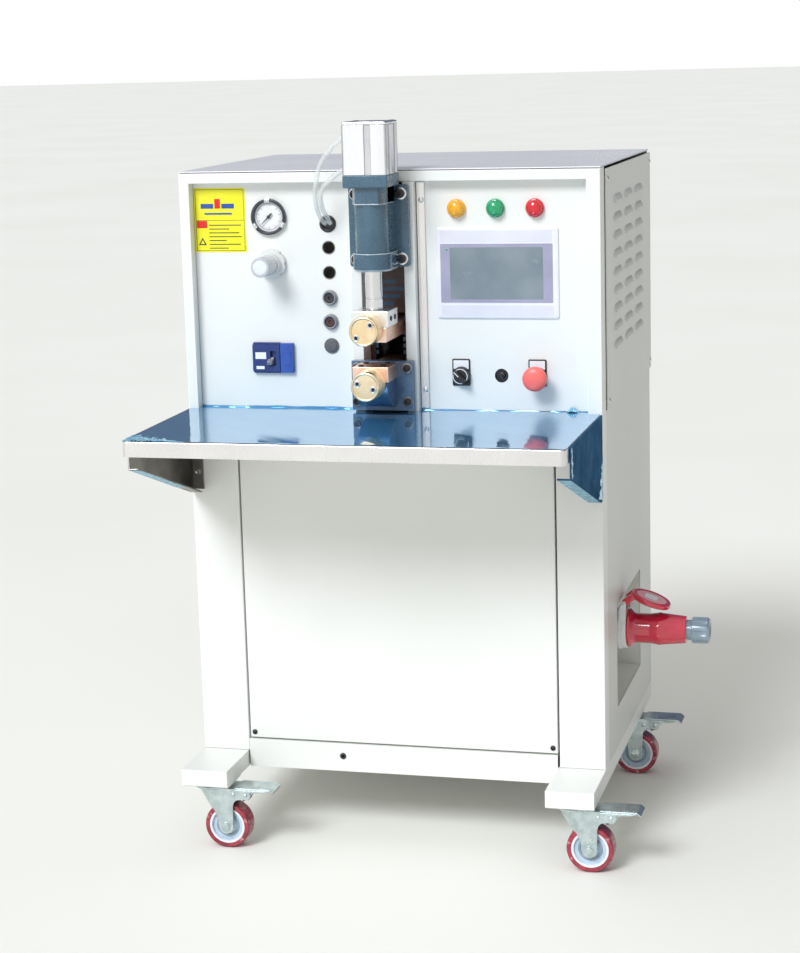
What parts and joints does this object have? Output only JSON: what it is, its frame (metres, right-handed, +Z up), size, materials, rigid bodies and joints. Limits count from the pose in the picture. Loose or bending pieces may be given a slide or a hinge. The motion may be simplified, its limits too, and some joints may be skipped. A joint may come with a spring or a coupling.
{
  "type": "spot welder",
  "caption": "Pneumatic spot welding machine: weld head with two disc electrodes over a worktable, on a white sheet-metal cabinet with braked castors.",
  "frame": {"origin": "on the floor, under the middle of the bounding box", "axes": "+Z up, -Y is the front with the weld head, +X is the side with the mains inlet"},
  "size_m": [0.858, 0.833, 1.21],
  "materials": {
    "white_paint": "smooth powder coat",
    "stainless": "brushed",
    "filmed_steel": "brushed, under blue protective film",
    "cast_paint": "satin paint on a casting",
    "anodised": "silver anodised",
    "chrome": "hard chrome, ground",
    "brass": "turned, bright",
    "copper": "milled copper",
    "board": "printed laminate",
    "black_plastic": "fine grain",
    "steel": "oiled laminations",
    "zinc": "blue zinc plate",
    "tread": "polyurethane, smooth",
    "red_plastic": "moulded",
    "grey_plastic": "moulded",
    "blue_plastic": "moulded",
    "clear_tube": "clear polyurethane",
    "yellow_lens": "ribbed lens",
    "green_lens": "ribbed lens",
    "red_lens": "ribbed lens"
  },
  "bodies": {
    "cabinet": {"left_foot_rail": "white_paint", "right_foot_rail": "white_paint", "base_pan": "white_paint", "front_frame": "white_paint", "left_lower_side": "white_paint", "right_lower_side": "white_paint", "left_louvre_panel": "white_paint", "right_louvre_panel": "white_paint", "rear_panel": "white_paint", "top_cover": "white_paint", "lower_front_panel": "white_paint", "instrument_panel": "white_paint", "control_panel": "white_paint", "worktable": "filmed_steel", "left_bracket": "stainless", "right_bracket": "filmed_steel", "left_head_rail": "white_paint", "right_head_rail": "white_paint", "insulation_board": "board", "head_housing": "cast_paint", "cylinder_barrel": "anodised", "flexible_shunt": "copper", "lower_bracket": "cast_paint", "lower_copper_block": "copper", "lower_electrode": "brass", "welding_transformer": "steel", "air_tube_upper": "clear_tube", "air_tube_lower": "clear_tube", "gauge_case": "black_plastic", "regulator_body": "grey_plastic", "breaker_case": "blue_plastic", "lamp_yellow": "yellow_lens", "lamp_green": "green_lens", "lamp_red": "red_lens", "touch_screen": "grey_plastic", "inlet_tub": "white_paint", "socket_housing": "grey_plastic"},
    "ram": {"ram_rod": "chrome", "upper_holder": "anodised", "upper_copper_arm": "copper", "upper_electrode": "brass"},
    "needle": {"gauge_needle": "black_plastic"},
    "regulator_knob": {"regulator_knob": "grey_plastic"},
    "breaker_toggle": {"breaker_toggle": "black_plastic"},
    "selector": {"selector_knob": "black_plastic"},
    "stop_button": {"stop_button": "red_plastic"},
    "socket_lid": {"socket_lid": "red_plastic"},
    "plug": {"mains_plug": "red_plastic"},
    "fork_front_left": {"castor_fork_front_left": "zinc"},
    "wheel_front_left": {"castor_wheel_front_left": "tread"},
    "pedal_front_left": {"brake_pedal_front_left": "zinc"},
    "fork_front_right": {"castor_fork_front_right": "zinc"},
    "wheel_front_right": {"castor_wheel_front_right": "tread"},
    "pedal_front_right": {"brake_pedal_front_right": "zinc"},
    "fork_rear_left": {"castor_fork_rear_left": "zinc"},
    "wheel_rear_left": {"castor_wheel_rear_left": "tread"},
    "pedal_rear_left": {"brake_pedal_rear_left": "zinc"},
    "fork_rear_right": {"castor_fork_rear_right": "zinc"},
    "wheel_rear_right": {"castor_wheel_rear_right": "tread"},
    "pedal_rear_right": {"brake_pedal_rear_right": "zinc"}
  },
  "joints": [
    {"name": "ram_slide", "type": "slide", "parent": "cabinet", "child": "ram", "axis": [0, 0, -1], "range_m": [0, 0.038], "deforming": ["flexible_shunt"]},
    {"name": "needle_turn", "type": "hinge", "parent": "cabinet", "child": "needle", "pos_m": [-0.273, -0.0895, 1.055], "axis": [0, 1, 0], "range_deg": [0, 270]},
    {"name": "regulator_turn", "type": "hinge", "parent": "cabinet", "child": "regulator_knob", "pos_m": [-0.271, -0.1295, 0.978], "axis": [0, 1, 0], "continuous": true},
    {"name": "breaker_switch", "type": "hinge", "parent": "cabinet", "child": "breaker_toggle", "pos_m": [-0.277, -0.09, 0.8195], "axis": [-1, 0, 0], "range_deg": [0, 50]},
    {"name": "selector_turn", "type": "hinge", "parent": "cabinet", "child": "selector", "pos_m": [0.046, -0.0945, 0.796], "axis": [0, 1, 0], "range_deg": [0, 90]},
    {"name": "stop_press", "type": "slide", "parent": "cabinet", "child": "stop_button", "axis": [0, 1, 0], "range_m": [0, 0.005], "stiffness_N_per_m": 1500, "springref_m": -0.002},
    {"name": "lid_hinge", "type": "hinge", "parent": "cabinet", "child": "socket_lid", "pos_m": [0.287, 0.0755, 0.388], "axis": [0, -1, 0], "range_deg": [0, 40]},
    {"name": "plug_pull", "type": "slide", "parent": "cabinet", "child": "plug", "axis": [1, 0, 0], "range_m": [0, 0.055]},
    {"name": "swivel_front_left", "type": "hinge", "parent": "cabinet", "child": "fork_front_left", "pos_m": [-0.381, -0.1815, 0.11], "axis": [0, 0, 1], "continuous": true},
    {"name": "roll_front_left", "type": "hinge", "parent": "fork_front_left", "child": "wheel_front_left", "pos_m": [-0.353, -0.1815, 0.039], "axis": [0, 1, 0], "continuous": true},
    {"name": "brake_front_left", "type": "hinge", "parent": "fork_front_left", "child": "pedal_front_left", "pos_m": [-0.317, -0.1815, 0.096], "axis": [0, 1, 0], "range_deg": [0, 14]},
    {"name": "swivel_front_right", "type": "hinge", "parent": "cabinet", "child": "fork_front_right", "pos_m": [0.239, -0.1815, 0.11], "axis": [0, 0, 1], "continuous": true},
    {"name": "roll_front_right", "type": "hinge", "parent": "fork_front_right", "child": "wheel_front_right", "pos_m": [0.267, -0.1815, 0.039], "axis": [0, 1, 0], "continuous": true},
    {"name": "brake_front_right", "type": "hinge", "parent": "fork_front_right", "child": "pedal_front_right", "pos_m": [0.303, -0.1815, 0.096], "axis": [0, 1, 0], "range_deg": [0, 14]},
    {"name": "swivel_rear_left", "type": "hinge", "parent": "cabinet", "child": "fork_rear_left", "pos_m": [-0.381, 0.3145, 0.11], "axis": [0, 0, 1], "continuous": true},
    {"name": "roll_rear_left", "type": "hinge", "parent": "fork_rear_left", "child": "wheel_rear_left", "pos_m": [-0.353, 0.3145, 0.039], "axis": [0, 1, 0], "continuous": true},
    {"name": "brake_rear_left", "type": "hinge", "parent": "fork_rear_left", "child": "pedal_rear_left", "pos_m": [-0.317, 0.3145, 0.096], "axis": [0, 1, 0], "range_deg": [0, 14]},
    {"name": "swivel_rear_right", "type": "hinge", "parent": "cabinet", "child": "fork_rear_right", "pos_m": [0.239, 0.3145, 0.11], "axis": [0, 0, 1], "continuous": true},
    {"name": "roll_rear_right", "type": "hinge", "parent": "fork_rear_right", "child": "wheel_rear_right", "pos_m": [0.267, 0.3145, 0.039], "axis": [0, 1, 0], "continuous": true},
    {"name": "brake_rear_right", "type": "hinge", "parent": "fork_rear_right", "child": "pedal_rear_right", "pos_m": [0.303, 0.3145, 0.096], "axis": [0, 1, 0], "range_deg": [0, 14]}
  ]
}
